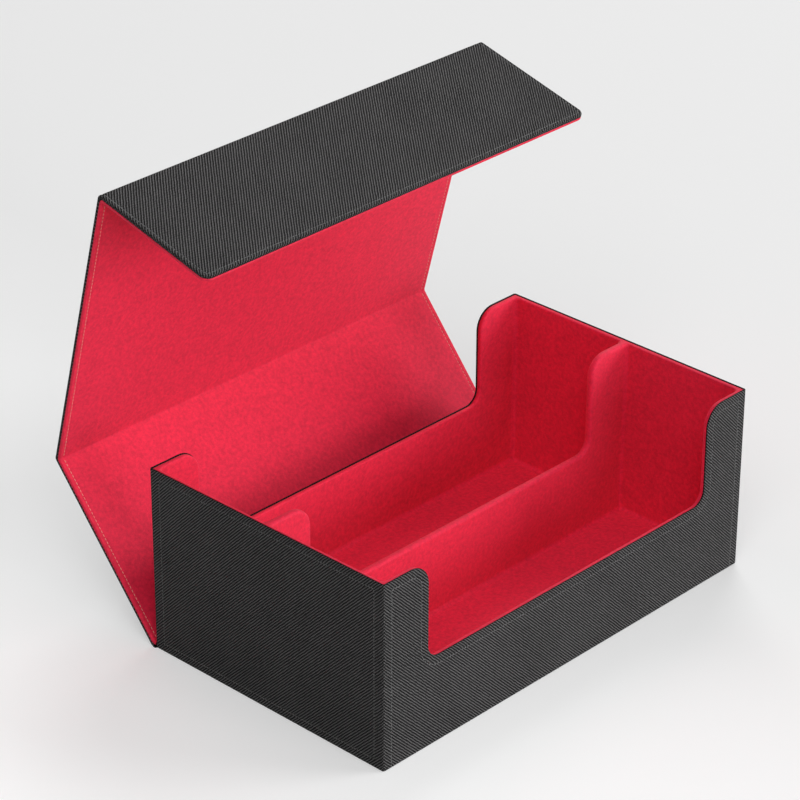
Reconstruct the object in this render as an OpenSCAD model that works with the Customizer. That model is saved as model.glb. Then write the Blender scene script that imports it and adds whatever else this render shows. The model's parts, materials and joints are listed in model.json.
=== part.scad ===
// Two-row card deck box with a folding lid.
//
// A tray of thick greyboard stands on a floor board, is covered outside with
// leather and inside with felt, and is split along its middle by a divider.
// The lid is one covered sheet in three panels: it rises behind the tray,
// crosses over it and folds down in front, where magnets hold it shut.
//
// Origin: middle of the underside. +X along the box, -Y its front, +Z up.

/* [Rows] */
// Inside length of each card row, left to right
row_l = 252.6; // [240:0.1:300]
// Inside width of each card row, front to back
row_w = 71.6; // [66:0.1:90]
// Height of the walls and of the divider
wall_h = 100; // [90:1:101]

/* [Sheet thicknesses] */
// Leather cover
leather_t = 0.8; // [0.6:0.1:1]
// Greyboard in the tray and the lid
board_t = 2; // [2:0.1:2.6]
// Felt lining
lining_t = 0.5; // [0.4:0.1:0.8]
// Greyboard in the divider
divider_board_t = 3; // [2:0.1:4]

/* [Finger cutouts] */
// Length of the cutout in the front wall, the rear wall and the divider
cutout_l = 200; // [120:0.5:205]
// Height of the cutout's lower edge above the underside
cutout_z = 47.2; // [46.5:0.1:60]
// Rounding at the top of the corner posts
cutout_top_r = 11; // [6:0.5:14]
// Rounding at the cutout's lower corners
cutout_low_r = 8; // [4:0.5:14]
// Rounding of the tray's upright outside corners
corner_r = 1.2; // [1.1:0.1:3]

/* [Lid] */
// Length of the lid, left to right
lid_l = 259.6; // [259.2:0.1:262]
// Gap between the closed lid and the rear wall
rear_gap = 0.6; // [0.4:0.1:2]
// Gap between the closed lid and the top of the walls
top_gap = 2.1; // [1:0.1:4]
// Gap between the closed flap and the front wall
front_gap = 0.6; // [0.4:0.1:2]
// Length of the front flap, from its fold to its free edge
flap_l = 71.5; // [71:0.5:76]
// Rounding of the flap's free corners
flap_corner_r = 4.5; // [2:0.5:8]

/* [Lid position] */
// Angle of the rear panel from lying flat behind the box, closed at 90
base_hinge_deg = 50.1; // [25:0.05:90]
// Angle folded between the rear and top panels, closed at 90
top_fold_deg = 54.65; // [25:0.05:90]
// Angle folded between the top panel and the flap, closed at 90
flap_fold_deg = 90; // [25:0.05:90]

/* [Closure magnets] */
// Diameter of each disc
magnet_d = 12; // [8:0.5:12]
// Thickness of each disc
magnet_t = 1.5; // [1:0.1:1.6]
// Number of discs in the front wall, and again in the flap
magnet_count = 4; // [2:1:4]
// Distance between neighbouring discs
magnet_pitch = 60; // [20:1:75]
// Distance of the discs from the fold of the flap
magnet_u = 64; // [63:0.5:64.5]

/* [Hidden] */
$fn = 48;

leather_colour = "#262626";
board_colour = "#9a8f7d";
lining_colour = "#d6263f";
magnet_colour = "#c9ccd0";

// Tray
wall_t = leather_t + board_t + lining_t;
divider_t = divider_board_t + 2 * lining_t;
box_l = row_l + 2 * wall_t;
box_w = 2 * row_w + divider_t + 2 * wall_t;
floor_z = leather_t + board_t;
board_top = wall_h - lining_t;
skin = leather_t;
inner_face = wall_t - lining_t;

// Lid sheet, measured from the fold lines: its inside face and its outside face
inside_v = lining_t + 0.3;
board_v = inside_v - lining_t;
outside_v = leather_t + board_t - board_v;
rim_v = board_t / 2 - board_v;
fold_set_back = rear_gap + inside_v;
seam_deg = 0.1;

// Fold lines as [y, z] points, and the panel lengths between them
rear_panel_l = wall_h + top_gap + inside_v - outside_v;
top_panel_l = box_w + rear_gap + front_gap + 2 * inside_v;
base_dir = 0;
rear_dir = base_hinge_deg;
top_dir = rear_dir + top_fold_deg;
flap_dir = top_dir + flap_fold_deg;
base_pivot = [box_w / 2 + fold_set_back, outside_v];
top_pivot = base_pivot + rear_panel_l * heading(rear_dir);
flap_pivot = top_pivot + top_panel_l * heading(top_dir);

magnet_play = 0.1;
magnet_z = base_pivot[1] + rear_panel_l - magnet_u;
cut = 5;

// Direction in the Y-Z plane, as an angle up from +Y
function heading(deg) = [cos(deg), sin(deg)];

// ---------------------------------------------------------------- outlines

// Plan of the tray's outside, shrunk by an inset
module footprint(inset) {
    l = box_l - 2 * inset;
    w = box_w - 2 * inset;
    r = corner_r - inset;
    square([l - 2 * r, w], center = true);
    square([l, w - 2 * r], center = true);
    for (sx = [-1, 1], sy = [-1, 1])
        translate([sx * (l / 2 - r), sy * (w / 2 - r)]) circle(r);
}

// Cutout as seen from the front, grown by the thickness of what lines it
module cutout_outline(grow) {
    half = cutout_l / 2 + grow;
    low = cutout_z - grow;
    low_r = cutout_low_r + grow;
    top_r = cutout_top_r - grow;
    flare_z = wall_h - cutout_top_r;
    translate([-half, low + low_r]) square([2 * half, wall_h + cut - low - low_r]);
    translate([-half + low_r, low]) square([2 * (half - low_r), low_r]);
    for (side = [-1, 1]) {
        translate([side * (half - low_r), low + low_r]) circle(low_r);
        difference() {
            translate([side * (half + top_r / 2), flare_z + (top_r + cut) / 2])
                square([top_r, top_r + cut], center = true);
            translate([side * (half + top_r), flare_z]) circle(top_r);
        }
    }
}

// Wall outline as seen from the front, with its cutout
module cutout_wall_outline(length, low, high, grow) {
    difference() {
        translate([-length / 2, low]) square([length, high - low]);
        cutout_outline(grow);
    }
}

// Corner-to-corner wedge of the plan that holds one long wall's cover
module long_wall_wedge() {
    reach = box_w / 4;
    polygon([[-box_l / 2 - cut, -box_w / 2 - cut], [box_l / 2 + cut, -box_w / 2 - cut],
             [box_l / 2 - reach, -box_w / 2 + reach], [-box_l / 2 + reach, -box_w / 2 + reach]]);
}

// Lid panel outline from one fold to the next, inset at both ends
module panel_outline(from, to, inset) {
    translate([-lid_l / 2 + inset, from]) square([lid_l - 2 * inset, to - from]);
}

// Flap outline with rounded free corners
module flap_outline(from, inset) {
    r = flap_corner_r - inset;
    half = lid_l / 2 - inset;
    end = flap_l - inset;
    translate([-half, from]) square([2 * half, end - r - from]);
    translate([-half + r, from]) square([2 * (half - r), end - from]);
    for (side = [-1, 1])
        translate([side * (half - r), end - r]) circle(r);
}

// ------------------------------------------------------------- placements

// Stand an outline up facing the front, from y = near and back by t
module facing_front(near, t) {
    translate([0, near + t, 0]) rotate([90, 0, 0]) linear_extrude(t) children();
}

// Run an outline drawn in Y-Z along the box
module along_box(length) {
    rotate([90, 0, 90]) linear_extrude(length, center = true) children();
}

// Put a panel, drawn lying flat with its outside face down, on its fold line
module on_fold(pivot, deg) {
    translate([0, pivot[0], pivot[1]]) rotate([deg, 0, 0]) children();
}

// Sheet between two depths of the lid, counted outwards from the fold line
module lid_sheet(inner_v, outer_v) {
    translate([0, 0, -outer_v]) linear_extrude(outer_v - inner_v) children();
}

// Row of closure discs in a plane, centred across the box
module magnet_row(r, t) {
    for (i = [0 : magnet_count - 1])
        translate([(i - (magnet_count - 1) / 2) * magnet_pitch, 0, 0]) cylinder(r = r, h = t);
}

// Closure discs set flush in the outer face of the front wall's board
module front_wall_discs(play) {
    translate([0, -box_w / 2 + skin, magnet_z]) rotate([-90, 0, 0])
        magnet_row(magnet_d / 2 + play, magnet_t + play);
}

// Closure discs set flush in the inner face of the flap's board
module flap_discs(play) {
    on_fold(flap_pivot, flap_dir)
        translate([0, magnet_u, board_v - magnet_t - play])
            magnet_row(magnet_d / 2 + play, magnet_t + play);
}

// ------------------------------------------------------------ tray boards

module floor_board() {
    color(board_colour)
        translate([0, 0, leather_t]) linear_extrude(board_t)
            square([row_l + 2 * lining_t, box_w - 2 * inner_face], center = true);
}

// Board of the front wall, before the magnet pockets
module long_wall_board() {
    facing_front(-box_w / 2 + skin, board_t)
        cutout_wall_outline(row_l + 2 * lining_t, leather_t, board_top, lining_t);
}

module front_wall_board() {
    color(board_colour) difference() {
        long_wall_board();
        front_wall_discs(magnet_play);
    }
}

module rear_wall_board() {
    color(board_colour) mirror([0, 1, 0]) long_wall_board();
}

module left_end_board() {
    color(board_colour)
        translate([0, 0, leather_t]) linear_extrude(board_top - leather_t) intersection() {
            footprint(skin);
            translate([-box_l / 2, -box_w / 2]) square([inner_face, box_w]);
        }
}

module right_end_board() {
    mirror([1, 0, 0]) left_end_board();
}

// Divider panel standing on the floor board
module divider_panel(t, high, grow) {
    facing_front(-t / 2, t) cutout_wall_outline(row_l, floor_z, high, grow);
}

module divider_board() {
    color(board_colour) divider_panel(divider_board_t, board_top, lining_t);
}

// ----------------------------------------------------------- tray leather

// Band of leather around the walls, seen in plan
module leather_band() {
    difference() {
        footprint(0);
        footprint(skin);
    }
}

// The base leaf reaches under the rear wall and back to the lid's hinge line
module base_leather() {
    color(leather_colour) linear_extrude(leather_t) {
        footprint(skin);
        intersection() {
            footprint(0);
            mirror([0, 1]) long_wall_wedge();
        }
        translate([-lid_l / 2, box_w / 2]) square([lid_l, fold_set_back]);
    }
}

// Cover of one long wall, mitred at both corners, from a given height up
module long_wall_leather(low) {
    color(leather_colour) intersection() {
        translate([0, 0, low]) linear_extrude(wall_h - low) intersection() {
            leather_band();
            long_wall_wedge();
        }
        facing_front(-box_w / 2 - cut, wall_t + cut)
            cutout_wall_outline(box_l + cut, 0, wall_h + cut, 0);
    }
}

module front_wall_leather() {
    long_wall_leather(0);
}

module rear_wall_leather() {
    mirror([0, 1, 0]) long_wall_leather(leather_t);
}

module left_end_leather() {
    color(leather_colour) linear_extrude(wall_h) difference() {
        intersection() {
            leather_band();
            translate([-box_l / 2, -box_w / 2]) square([wall_t, box_w]);
        }
        long_wall_wedge();
        mirror([0, 1]) long_wall_wedge();
    }
}

module right_end_leather() {
    mirror([1, 0, 0]) left_end_leather();
}

// ----------------------------------------------------------- tray linings

// Felt up the inside of a long wall and over its top and cutout edges
module long_wall_lining() {
    color(lining_colour) difference() {
        facing_front(-box_w / 2 + skin, wall_t - skin)
            cutout_wall_outline(row_l, floor_z, wall_h, 0);
        long_wall_board();
    }
}

module front_wall_lining() {
    long_wall_lining();
}

module rear_wall_lining() {
    mirror([0, 1, 0]) long_wall_lining();
}

// Felt up the inside of an end wall and over its whole top edge
module left_end_lining() {
    color(lining_colour) {
        translate([-box_l / 2 + inner_face, -box_w / 2 + inner_face, floor_z])
            cube([lining_t, box_w - 2 * inner_face, board_top - floor_z]);
        translate([0, 0, board_top]) linear_extrude(lining_t) intersection() {
            footprint(skin);
            translate([-box_l / 2, -box_w / 2]) square([wall_t, box_w]);
        }
    }
}

module right_end_lining() {
    mirror([1, 0, 0]) left_end_lining();
}

module divider_lining() {
    color(lining_colour) difference() {
        divider_panel(divider_t, wall_h, 0);
        divider_board();
    }
}

module front_row_floor_lining() {
    color(lining_colour)
        translate([-row_l / 2, -divider_t / 2 - row_w, floor_z]) cube([row_l, row_w, lining_t]);
}

module rear_row_floor_lining() {
    mirror([0, 1, 0]) front_row_floor_lining();
}

module front_wall_magnets() {
    color(magnet_colour) front_wall_discs(0);
}

// -------------------------------------------------------------- lid folds

// Part of a round strip between the outward directions of two panels
module fold_arc(centre, inner_r, outer_r, from_deg, to_deg) {
    reach = 2 * outer_r;
    along_box(lid_l) translate(centre) intersection() {
        difference() {
            circle(outer_r);
            circle(inner_r);
        }
        polygon([[0, 0], reach * heading(from_deg - 90), reach * heading((from_deg + to_deg) / 2 - 90),
                 reach * heading(to_deg - 90)]);
    }
}

// Leather bends around the fold line at the radius of the sheet's outside
module fold_leather(pivot, from_deg, to_deg) {
    color(leather_colour)
        fold_arc(pivot, outside_v - leather_t, outside_v, from_deg, to_deg);
}

// Felt runs in a fillet that meets both panels' inside faces, a hair short of their felt
module fold_lining(pivot, from_deg, to_deg) {
    half_turn = (to_deg - from_deg) / 2;
    inner_r = fold_set_back / tan(half_turn) - inside_v;
    centre = pivot + (inner_r + inside_v) / cos(half_turn) * heading(from_deg + half_turn + 90);
    color(lining_colour)
        fold_arc(centre, inner_r, inner_r + lining_t, from_deg + seam_deg, to_deg - seam_deg);
}

module base_hinge_leather() {
    fold_leather(base_pivot, base_dir, rear_dir);
}

module base_hinge_lining() {
    fold_lining(base_pivot, base_dir, rear_dir);
}

module top_fold_leather() {
    fold_leather(top_pivot, rear_dir, top_dir);
}

module top_fold_lining() {
    fold_lining(top_pivot, rear_dir, top_dir);
}

module flap_fold_leather() {
    fold_leather(flap_pivot, top_dir, flap_dir);
}

module flap_fold_lining() {
    fold_lining(flap_pivot, top_dir, flap_dir);
}

// ------------------------------------------------------------- lid panels

// Board between two folds, inside the wrapped side edges
module panel_board(l) {
    color(board_colour) lid_sheet(-board_v, board_t - board_v)
        panel_outline(fold_set_back, l - fold_set_back, skin);
}

// Leather over the outside of a panel and halfway down its side edges
module panel_leather(l) {
    color(leather_colour) {
        lid_sheet(outside_v - leather_t, outside_v) panel_outline(0, l, 0);
        lid_sheet(rim_v, outside_v - leather_t) panel_rim(l);
    }
}

// Felt over the inside of a panel and halfway up its side edges
module panel_lining(l) {
    color(lining_colour) {
        lid_sheet(-inside_v, -board_v) panel_outline(fold_set_back, l - fold_set_back, 0);
        lid_sheet(-board_v, rim_v) panel_rim(l);
    }
}

// The two side edges of a panel, seen in plan
module panel_rim(l) {
    difference() {
        panel_outline(fold_set_back, l - fold_set_back, 0);
        panel_outline(0, l, skin);
    }
}

// The flap's side and free edges, seen in plan
module flap_rim() {
    difference() {
        flap_outline(fold_set_back, 0);
        flap_outline(0, skin);
    }
}

module lid_rear_board() {
    on_fold(base_pivot, rear_dir) panel_board(rear_panel_l);
}

module lid_rear_leather() {
    on_fold(base_pivot, rear_dir) panel_leather(rear_panel_l);
}

module lid_rear_lining() {
    on_fold(base_pivot, rear_dir) panel_lining(rear_panel_l);
}

module lid_top_board() {
    on_fold(top_pivot, top_dir) panel_board(top_panel_l);
}

module lid_top_leather() {
    on_fold(top_pivot, top_dir) panel_leather(top_panel_l);
}

module lid_top_lining() {
    on_fold(top_pivot, top_dir) panel_lining(top_panel_l);
}

module lid_flap_board() {
    color(board_colour) difference() {
        on_fold(flap_pivot, flap_dir)
            lid_sheet(-board_v, board_t - board_v) flap_outline(fold_set_back, skin);
        flap_discs(magnet_play);
    }
}

module lid_flap_leather() {
    color(leather_colour) on_fold(flap_pivot, flap_dir) {
        lid_sheet(outside_v - leather_t, outside_v) flap_outline(0, 0);
        lid_sheet(rim_v, outside_v - leather_t) flap_rim();
    }
}

module lid_flap_lining() {
    color(lining_colour) on_fold(flap_pivot, flap_dir) {
        lid_sheet(-inside_v, -board_v) flap_outline(fold_set_back, 0);
        lid_sheet(-board_v, rim_v) flap_rim();
    }
}

module flap_magnets() {
    color(magnet_colour) flap_discs(0);
}

floor_board();
front_wall_board();
rear_wall_board();
left_end_board();
right_end_board();
divider_board();
base_leather();
front_wall_leather();
rear_wall_leather();
left_end_leather();
right_end_leather();
front_wall_lining();
rear_wall_lining();
left_end_lining();
right_end_lining();
divider_lining();
front_row_floor_lining();
rear_row_floor_lining();
front_wall_magnets();
base_hinge_leather();
base_hinge_lining();
lid_rear_board();
lid_rear_leather();
lid_rear_lining();
top_fold_leather();
top_fold_lining();
lid_top_board();
lid_top_leather();
lid_top_lining();
flap_fold_leather();
flap_fold_lining();
lid_flap_board();
lid_flap_leather();
lid_flap_lining();
flap_magnets();
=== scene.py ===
"""Two-row card deck box: the leather, felt, folds and stitching around its packed frame.

The packed model holds the greyboards, the magnets and the hinges. Every cover that shows
is made here as its own closed piece in metres, in the frame's own axes: +X along the box,
-Y its front, +Z up.
"""

import json
import math

import bmesh
import bpy
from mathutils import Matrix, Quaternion, Vector

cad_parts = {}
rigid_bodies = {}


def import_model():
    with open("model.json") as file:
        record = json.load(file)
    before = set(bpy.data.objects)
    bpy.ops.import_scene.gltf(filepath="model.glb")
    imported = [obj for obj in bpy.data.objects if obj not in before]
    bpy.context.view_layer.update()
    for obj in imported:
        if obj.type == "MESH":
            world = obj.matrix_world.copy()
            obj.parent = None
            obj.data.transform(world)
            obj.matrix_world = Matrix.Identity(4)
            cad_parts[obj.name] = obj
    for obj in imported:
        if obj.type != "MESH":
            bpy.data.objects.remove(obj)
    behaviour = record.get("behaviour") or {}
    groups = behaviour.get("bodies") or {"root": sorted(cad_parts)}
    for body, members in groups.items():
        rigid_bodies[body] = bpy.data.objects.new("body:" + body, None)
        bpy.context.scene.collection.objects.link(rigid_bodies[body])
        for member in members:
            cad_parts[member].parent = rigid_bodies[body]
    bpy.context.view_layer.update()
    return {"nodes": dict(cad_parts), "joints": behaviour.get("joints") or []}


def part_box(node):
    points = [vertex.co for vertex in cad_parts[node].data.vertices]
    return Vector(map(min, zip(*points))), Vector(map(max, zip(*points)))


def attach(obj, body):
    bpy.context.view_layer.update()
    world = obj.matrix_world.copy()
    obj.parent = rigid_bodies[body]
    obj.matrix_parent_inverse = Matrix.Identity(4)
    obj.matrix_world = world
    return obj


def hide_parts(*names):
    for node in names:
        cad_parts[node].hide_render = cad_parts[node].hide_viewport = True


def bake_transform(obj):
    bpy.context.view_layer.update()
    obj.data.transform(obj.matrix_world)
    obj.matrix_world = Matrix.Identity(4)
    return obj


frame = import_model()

bl_info = {
    "name": "Card Deck Box",
    "version": (1, 0, 0),
    "blender": (4, 5, 0),
    "location": "View3D > Sidebar > Card Box",
    "description": "Leather, felt and stitching of a two-row card deck box",
    "category": "Add Mesh",
}

CUT_UV = "cut"
SEAM_NORMAL = "outward"
HALF_FILLET = 1 - math.sqrt(0.5)
ARC_STEPS = 4
OUTLINE_STEPS = 10
SHARP_DEG = 40
TINY = 1e-6
MERGE_WITHIN = 2e-6
NEARLY_PARALLEL = 1e-4
FOLD_STEP_DEG = 6
FEWEST_FOLD_STEPS = 6
# How much each point of a cover's rim is painted darker: part the leather's dark cut edge, part
# painted shade where the edge turns from the light.
RIM_EDGE_AND_SHADE = "rim"
LID_EDGE_AND_SHADE = 0.35  # the lid's rims darken by this share of the tray's; the darkening is part dark edge, part painted shade
PLAIN_CUT = (0, 0.01)  # for the felt strips, whose felt has no ribs to follow a cut


# --------------------------------------------------------------------- settings


def length(name, description, default):
    """A size in metres."""
    return bpy.props.FloatProperty(
        name=name, description=description, default=default, min=0.0, max=1.0,
        precision=5, subtype="DISTANCE", unit="LENGTH")


def colour(name, description, default):
    """A colour in linear light."""
    return bpy.props.FloatVectorProperty(
        name=name, description=description, default=default, size=3, min=0, max=1,
        subtype="COLOR")


def amount(name, description, default, low=0.0, high=1.0):
    """A plain number."""
    return bpy.props.FloatProperty(
        name=name, description=description, default=default, min=low, max=high)


class BoxSizes(bpy.types.PropertyGroup):
    """Sizes of the covers of the tray and the lid."""

    leather: length("Leather", "Thickness of the leather", 0.0008)
    felt: length("Felt", "Thickness of the felt", 0.0005)
    cutout_length: length("Cutout length", "Length of each finger cutout", 0.2)
    cutout_height: length("Cutout height", "Height of its lower edge", 0.0472)
    post_radius: length("Post radius", "Rounding at the top of the corner posts", 0.011)
    cutout_radius: length("Cutout radius", "Rounding low in the cutout", 0.008)
    corner_radius: length("Corner radius", "Rounding of the upright leather corners", 0.0012)
    foot_radius: length("Foot radius", "Rounding of the leather's lower edge", 0.001)
    leather_rise: length("Leather rise", "Height of the leather's top above the felt", 0.0004)
    leather_edge: length("Leather edge", "Rounding of the leather at the top", 0.0004)
    felt_edge: length("Felt edge", "Rounding of the felt over the top of a wall", 0.0009)
    felt_fillet: length("Felt fillet", "Radius of the felt where two sides meet", 0.003)
    divider_edge: length("Divider edge", "Rounding of the divider's top", 0.0014)
    divider_flare: length("Divider flare", "Radius of the felt at the divider's foot", 0.0025)
    lid_edge: length("Lid edge", "Rounding of the lid's leather", 0.0008)
    lid_felt_edge: length("Lid felt edge", "Rounding of the lid's felt", 0.0006)
    flap_radius: length("Flap radius", "Rounding of the flap's free corners", 0.0045)
    outside_depth: length("Outside depth", "From the fold line to the lid's outside", 0.0025)
    inside_depth: length("Inside depth", "From the fold line to the lid's inside", 0.0008)
    rim_depth: length("Rim depth", "From the fold line to where leather meets felt", 0.0007)
    fold_play: length("Fold play", "From the fold line to the flat leather", 0.00005)
    fold_set_back: length("Fold set-back", "From the fold line to the flat felt", 0.0014)


class SeamSizes(bpy.types.PropertyGroup):
    """Sizes of the stitching and how far each row runs from its edge."""

    pitch: length("Pitch", "Distance from stitch to stitch", 0.00202)
    stitch: length("Stitch", "Length of one stitch", 0.0015)
    thread: length("Thread", "Diameter of the thread", 0.0004)
    groove_width: length("Groove width", "Width of the groove along a row", 0.0016)
    groove_depth: length("Groove depth", "Depth of the groove along a row", 0.00016)
    front_side: length("Front side", "Row to the upright edges of a long wall", 0.0054)
    front_top: length("Front top", "Row to the top and the cutout of a long wall", 0.0043)
    end_side: length("End side", "Row to the upright edges of an end wall", 0.0062)
    end_top: length("End top", "Row to the top of an end wall", 0.00405)
    end_foot: length("End foot", "Row to the lower edge of an end wall", 0.00465)
    lid_outside: length("Lid outside", "Row to the lid's edges on the leather", 0.00225)
    lid_inside: length("Lid inside", "Row to the lid's edges on the felt", 0.0027)
    seed: bpy.props.IntProperty(
        name="Seed", description="Seed of the stitches' small differences", default=7)


class Finishes(bpy.types.PropertyGroup):
    """Colours and textures of the materials."""

    rib_pitch: length("Rib pitch", "Distance between ribs, measured along an edge", 0.001672)
    rib_depth: length("Rib depth", "Height of the leather's ribs", 0.0005)
    rib_stretch: amount("Rib stretch", "How far the lid's leather is pulled to the flap", 0.813)
    leather_ridge: colour("Leather ridge", "Colour on top of the ribs", (0.13, 0.126, 0.127))
    leather_groove: colour("Leather groove", "Colour between the ribs", (0.002, 0.002, 0.002))
    felt_light: colour("Felt light", "Colour of the raised nap", (0.88, 0.0125, 0.062))
    felt_dark: colour("Felt dark", "Colour of the flattened nap", (0.64, 0.006, 0.042))
    grey_thread: colour("Grey thread", "Colour of the thread on the leather", (0.2, 0.2, 0.2))
    red_thread: colour("Red thread", "Colour of the thread on the felt", (0.98, 0.4, 0.33))
    board: colour("Greyboard", "Colour of the greyboard", (0.36, 0.32, 0.26))
    steel: colour("Magnet steel", "Colour of the magnets' plating", (0.62, 0.63, 0.65))


class StudioLook(bpy.types.PropertyGroup):
    """The floor, the lights and the camera."""

    floor: colour("Floor", "Colour of the floor", (0.7, 0.7, 0.7))
    # Painted light: the floor glows for the camera only, more on the left than on the right, where it
    # lifts the box's shadow.
    glow: amount("Floor glow", "Light that the floor gives of itself on the left", 0.43, 0, 5)
    far_glow: amount("Far glow", "Light that the floor gives of itself on the right", 0.19, 0, 5)
    sky: amount("Sky", "Brightness of the even light", 0.1, 0, 10)
    backdrop: amount("Backdrop", "Brightness behind the floor", 0.8, 0, 10)
    front: amount("Front light", "Power of the light in front", 158, 0, 1000)
    front_right: amount("Front right light", "Power of the light in front on the right", 195, 0, 1000)
    front_left: amount("Front left light", "Power of the light in front on the left", 124, 0, 1000)
    rear_right: amount("Rear right light", "Power of the light behind on the right", 132, 0, 1000)
    above: amount("Light above", "Power of the light above", 35, 0, 1000)
    azimuth: amount("Azimuth", "Camera's angle round the box in degrees", -46.43666, -180, 180)
    elevation: amount("Elevation", "Camera's angle above the floor in degrees", 28.25471, 0, 90)
    roll: amount("Roll", "Camera's turn about its own axis in degrees", 0.2, -180, 180)
    place: bpy.props.FloatVectorProperty(
        name="Place", description="Where the camera stands", size=3, subtype="TRANSLATION",
        unit="LENGTH", default=(-1.031028, -0.944132, 0.866574))
    lens: amount("Lens", "Focal length in millimetres", 148.418, 10, 500)


SETTINGS = {
    "card_box_sizes": BoxSizes,
    "card_box_seams": SeamSizes,
    "card_box_finishes": Finishes,
    "card_box_studio": StudioLook,
}


def sizes():
    return bpy.context.scene.card_box_sizes


def seams():
    return bpy.context.scene.card_box_seams


def finishes():
    return bpy.context.scene.card_box_finishes


# ----------------------------------------------------------- places in the frame


class Side:
    """A flat side of the box: a place on it, and the directions across, along and out."""

    def __init__(self, place, across, along):
        self.place = Vector(place)
        self.across = Vector(across)
        self.along = Vector(along)
        self.out = self.across.cross(self.along)

    def point(self, a, b, h=0.0):
        return self.place + a * self.across + b * self.along + h * self.out


def tray_walls(low, high, long_wall, end_wall):
    """Name and outward side of the four walls of a block between two corners.

    The third value is long_wall for the front and the rear, and end_wall for the ends.
    """
    up = (0, 0, 1)
    return (
        ("front_wall", Side((0, low.y, 0), (1, 0, 0), up), long_wall),
        ("rear_wall", Side((0, high.y, 0), (-1, 0, 0), up), long_wall),
        ("left_end", Side((low.x, 0, 0), (0, -1, 0), up), end_wall),
        ("right_end", Side((high.x, 0, 0), (0, 1, 0), up), end_wall),
    )


def facing_in(side):
    """The same side seen from within the tray."""
    return Side(side.place, -side.across, side.along)


class Fold:
    """A hinge of the lid: its line, and the two panel angles that meet there."""

    def __init__(self, joint, before):
        self.line = Vector(joint["pos_m"])
        self.bodies = (joint["parent"], joint["child"])
        self.before = before
        self.after = before - math.radians(joint["range_deg"][0])


def lid_folds():
    """The three hinges from the base to the flap. Each starts where the last one ends."""
    folds, angle = [], 0.0
    for joint in frame["joints"]:
        folds.append(Fold(joint, angle))
        angle = folds[-1].after
    return folds


def along_panel(angle):
    """Direction up a panel that stands at an angle from lying flat behind the box."""
    return Vector((0, math.cos(angle), math.sin(angle)))


def out_of_panel(angle):
    """Direction out through the leather of that panel."""
    return Vector((0, math.sin(angle), -math.cos(angle)))


class Panel:
    """One flat part of the lid, from its fold to the next fold or to its free edge."""

    def __init__(self, body, fold, end):
        self.body = body
        self.fold = fold
        self.angle = fold.after
        self.end = end
        low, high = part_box(f"{body}_leather")
        self.half = (high.x - low.x) / 2

    def outside(self):
        place = self.fold.line + sizes().outside_depth * out_of_panel(self.angle)
        return Side(place, (-1, 0, 0), along_panel(self.angle))

    def inside(self):
        place = self.fold.line - sizes().inside_depth * out_of_panel(self.angle)
        return Side(place, (1, 0, 0), along_panel(self.angle))


def lid_panels():
    """The rear panel, the top panel and the flap."""
    folds = lid_folds()
    panels = []
    for i, fold in enumerate(folds):
        body = fold.bodies[1]
        if i + 1 < len(folds):
            end = (folds[i + 1].line - fold.line).length
        else:
            up = along_panel(fold.after)
            points = frame["nodes"][f"{body}_leather"].data.vertices
            end = max((p.co - fold.line).dot(up) for p in points)
        panels.append(Panel(body, fold, end))
    return panels


# --------------------------------------------------------------------- outlines


def rounded(corners, steps=OUTLINE_STEPS):
    """Points (a, b, kind) round an outline of (a, b, radius, kind) corners.

    Kind names the edge that follows.
    """
    points = []
    count = len(corners)
    for i, (a, b, radius, kind) in enumerate(corners):
        here = Vector((a, b))
        if radius <= 0:
            points.append((a, b, kind))
            continue
        back = (Vector(corners[i - 1][:2]) - here).normalized()
        ahead = (Vector(corners[(i + 1) % count][:2]) - here).normalized()
        centre = here + radius * (back + ahead)
        for step in range(steps + 1):
            turn = math.radians(90 * step / steps)
            p = centre - radius * (ahead * math.cos(turn) + back * math.sin(turn))
            points.append((p.x, p.y, kind))
    return points


def with_columns(points, half, distances):
    """Adds points near both ends of the edges that run across the whole outline."""
    made = []
    count = len(points)
    for i, (a, b, kind) in enumerate(points):
        made.append((a, b, kind))
        a2 = points[(i + 1) % count][0]
        if kind == "side" or a == a2:
            continue
        sign = 1 if a2 > a else -1
        stops = []
        for d in distances:
            stops += [-half + d, half - d]
        inner = [s for s in stops if min(a, a2) + TINY < s < max(a, a2) - TINY]
        made += [(s, b, kind) for s in sorted(inner, reverse=sign < 0)]
    return made


def half_width(outline):
    return max(abs(a) for a, _, _ in outline)


def foot_level(outline):
    return min(b for _, b, _ in outline)


def block_outline(half, low, high):
    """A plain side: its foot, its two upright sides and its top."""
    return [(-half, low, "foot"), (half, low, "side"), (half, high, "top"), (-half, high, "side")]


def cutout_outline(half, low, high, grow=0.0):
    """A long wall or the divider, with the finger cutout in its top edge.

    grow moves the top and the cutout's edge out of the wall.
    """
    s = sizes()
    c, z = s.cutout_length / 2 - grow, s.cutout_height + grow
    high += grow
    post, corner = s.post_radius + grow, s.cutout_radius - grow
    return rounded([
        (-half, low, 0, "foot"), (half, low, 0, "side"), (half, high, 0, "top"),
        (c, high, post, "top"), (c, z, corner, "top"),
        (-c, z, corner, "top"), (-c, high, post, "top"),
        (-half, high, 0, "side")])


def panel_outline(half, low, high):
    """A lid panel between two folds. Only its upright sides are free."""
    return [(-half, low, "fold"), (half, low, "side"), (half, high, "fold"), (-half, high, "side")]


def flap_outline(half, low, high):
    """The flap: one fold, then free edges with rounded corners."""
    r = sizes().flap_radius
    return rounded([(-half, low, 0, "fold"), (half, low, 0, "side"), (half, high, r, "side"),
                    (-half, high, r, "side")])


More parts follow.
